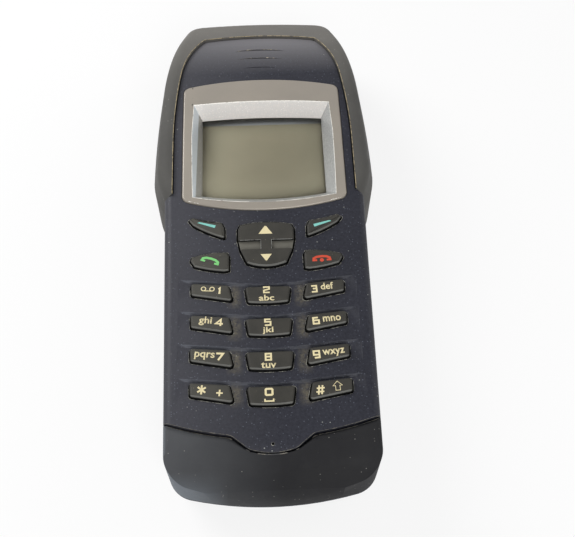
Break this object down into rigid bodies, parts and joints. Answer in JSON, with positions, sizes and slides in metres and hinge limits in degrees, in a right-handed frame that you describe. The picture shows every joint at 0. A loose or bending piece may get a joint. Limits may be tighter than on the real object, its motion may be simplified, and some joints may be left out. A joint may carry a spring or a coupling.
{
  "type": "rugged mobile phone",
  "caption": "Rugged candy-bar mobile phone with a rubber-bumpered head, a framed display, sprung keys, a lidded charging socket and a battery pack held by coin screws.",
  "frame": {"origin": "under the middle of the case, on the plane that the back lies on", "axes": "+X to the right of the face, +Y along the case towards the earpiece, +Z out of the face"},
  "size_m": [0.058, 0.142, 0.028],
  "materials": {
    "cover": "matt with a fine sparkle",
    "bumper": "matt rubber",
    "cap": "matt rubber",
    "bezel": "satin metallic paint",
    "window": "clear",
    "display": "grey green reflective",
    "inner_plastic": "matt",
    "mat": "matt",
    "board": "satin",
    "contact_steel": "bright",
    "light_alloy": "cast",
    "tin_steel": "tinned",
    "contact_gold": "plated",
    "rear": "fine matt grain",
    "screw_steel": "blackened",
    "battery": "fine matt grain",
    "cell_metal": "drawn",
    "insert_brass": "turned",
    "side_key": "matt rubber",
    "infrared": "gloss",
    "keys": "satin"
  },
  "bodies": {
    "case": {"front_cover": "cover", "head_bumper": "bumper", "bottom_cap": "cap", "display_bezel": "bezel", "display_lens": "window", "lcd_panel": "display", "lcd_frame": "inner_plastic", "key_mat": "mat", "key_board": "board", "snap_contacts": "contact_steel", "chassis_frame": "light_alloy", "main_board": "board", "radio_shield": "tin_steel", "logic_shield": "tin_steel", "audio_shield": "tin_steel", "card_reader": "inner_plastic", "battery_springs": "inner_plastic", "buzzer": "inner_plastic", "backup_cell": "tin_steel", "earpiece": "tin_steel", "earpiece_gasket": "mat", "microphone_boot": "mat", "microphone": "tin_steel", "antenna_carrier": "inner_plastic", "antenna_plate": "contact_gold", "charge_connector": "inner_plastic", "charge_pin": "contact_gold", "connector_contacts": "contact_gold", "rear_cover": "rear", "case_seal": "mat", "case_screws": "screw_steel", "lock_inserts": "insert_brass", "infrared_window": "infrared", "side_switches": "tin_steel"},
    "battery": {"battery_shell": "battery", "battery_lid": "battery", "battery_contacts": "contact_gold", "battery_cells": "cell_metal"},
    "key_1": {"key_1": "keys"},
    "key_2": {"key_2": "keys"},
    "key_3": {"key_3": "keys"},
    "key_4": {"key_4": "keys"},
    "key_5": {"key_5": "keys"},
    "key_6": {"key_6": "keys"},
    "key_7": {"key_7": "keys"},
    "key_8": {"key_8": "keys"},
    "key_9": {"key_9": "keys"},
    "key_star": {"key_star": "keys"},
    "key_0": {"key_0": "keys"},
    "key_hash": {"key_hash": "keys"},
    "soft_key_left": {"soft_key_left": "keys"},
    "soft_key_right": {"soft_key_right": "keys"},
    "call_key": {"call_key": "keys"},
    "end_key": {"end_key": "keys"},
    "navigation_key": {"navigation_key": "keys"},
    "volume_key": {"volume_key": "side_key"},
    "power_key": {"power_key": "side_key"},
    "connector_door": {"connector_door": "cap"},
    "coin_screw_left": {"coin_screw_left": "screw_steel"},
    "coin_screw_right": {"coin_screw_right": "screw_steel"}
  },
  "joints": [
    {"name": "key_1_press", "type": "slide", "parent": "case", "child": "key_1", "axis": [0, 0, -1], "range_m": [0, 0.0007], "stiffness_N_per_m": 300, "springref_m": -0.001},
    {"name": "key_2_press", "type": "slide", "parent": "case", "child": "key_2", "axis": [0, 0, -1], "range_m": [0, 0.0007], "stiffness_N_per_m": 300, "springref_m": -0.001},
    {"name": "key_3_press", "type": "slide", "parent": "case", "child": "key_3", "axis": [0, 0, -1], "range_m": [0, 0.0007], "stiffness_N_per_m": 300, "springref_m": -0.001},
    {"name": "key_4_press", "type": "slide", "parent": "case", "child": "key_4", "axis": [0, 0, -1], "range_m": [0, 0.0007], "stiffness_N_per_m": 300, "springref_m": -0.001},
    {"name": "key_5_press", "type": "slide", "parent": "case", "child": "key_5", "axis": [0, 0, -1], "range_m": [0, 0.0007], "stiffness_N_per_m": 300, "springref_m": -0.001},
    {"name": "key_6_press", "type": "slide", "parent": "case", "child": "key_6", "axis": [0, 0, -1], "range_m": [0, 0.0007], "stiffness_N_per_m": 300, "springref_m": -0.001},
    {"name": "key_7_press", "type": "slide", "parent": "case", "child": "key_7", "axis": [0, 0, -1], "range_m": [0, 0.0007], "stiffness_N_per_m": 300, "springref_m": -0.001},
    {"name": "key_8_press", "type": "slide", "parent": "case", "child": "key_8", "axis": [0, 0, -1], "range_m": [0, 0.0007], "stiffness_N_per_m": 300, "springref_m": -0.001},
    {"name": "key_9_press", "type": "slide", "parent": "case", "child": "key_9", "axis": [0, 0, -1], "range_m": [0, 0.0007], "stiffness_N_per_m": 300, "springref_m": -0.001},
    {"name": "key_star_press", "type": "slide", "parent": "case", "child": "key_star", "axis": [0, 0, -1], "range_m": [0, 0.0007], "stiffness_N_per_m": 300, "springref_m": -0.001},
    {"name": "key_0_press", "type": "slide", "parent": "case", "child": "key_0", "axis": [0, 0, -1], "range_m": [0, 0.0007], "stiffness_N_per_m": 300, "springref_m": -0.001},
    {"name": "key_hash_press", "type": "slide", "parent": "case", "child": "key_hash", "axis": [0, 0, -1], "range_m": [0, 0.0007], "stiffness_N_per_m": 300, "springref_m": -0.001},
    {"name": "soft_key_left_press", "type": "slide", "parent": "case", "child": "soft_key_left", "axis": [0, 0, -1], "range_m": [0, 0.0007], "stiffness_N_per_m": 300, "springref_m": -0.001},
    {"name": "soft_key_right_press", "type": "slide", "parent": "case", "child": "soft_key_right", "axis": [0, 0, -1], "range_m": [0, 0.0007], "stiffness_N_per_m": 300, "springref_m": -0.001},
    {"name": "call_key_press", "type": "slide", "parent": "case", "child": "call_key", "axis": [0, 0, -1], "range_m": [0, 0.0007], "stiffness_N_per_m": 300, "springref_m": -0.001},
    {"name": "end_key_press", "type": "slide", "parent": "case", "child": "end_key", "axis": [0, 0, -1], "range_m": [0, 0.0007], "stiffness_N_per_m": 300, "springref_m": -0.001},
    {"name": "navigation_key_rock", "type": "hinge", "parent": "case", "child": "navigation_key", "pos_m": [0, -0.0115, 0.0213], "axis": [1, 0, 0], "range_deg": [-4, 4], "stiffness_Nm_per_rad": 0.02},
    {"name": "volume_key_rock", "type": "hinge", "parent": "case", "child": "volume_key", "pos_m": [-0.02545, 0.0275, 0.0071], "axis": [0, 0, 1], "range_deg": [-3, 3], "stiffness_Nm_per_rad": 0.02},
    {"name": "power_key_press", "type": "slide", "parent": "case", "child": "power_key", "axis": [0, -1, 0], "range_m": [0, 0.0007], "stiffness_N_per_m": 300, "springref_m": -0.001},
    {"name": "connector_door_hinge", "type": "hinge", "parent": "case", "child": "connector_door", "pos_m": [0, -0.0676, 0.0041], "axis": [1, 0, 0], "range_deg": [0, 100]},
    {"name": "battery_slide", "type": "slide", "parent": "case", "child": "battery", "axis": [0, 0, -1], "range_m": [0, 0.012]},
    {"name": "coin_screw_left_turn", "type": "hinge", "parent": "battery", "child": "coin_screw_left", "pos_m": [-0.0135, -0.0545, 0.0039], "axis": [0, 0, -1], "range_deg": [0, 360]},
    {"name": "coin_screw_right_turn", "type": "hinge", "parent": "battery", "child": "coin_screw_right", "pos_m": [0.0135, -0.0545, 0.0039], "axis": [0, 0, -1], "range_deg": [0, 360]}
  ]
}
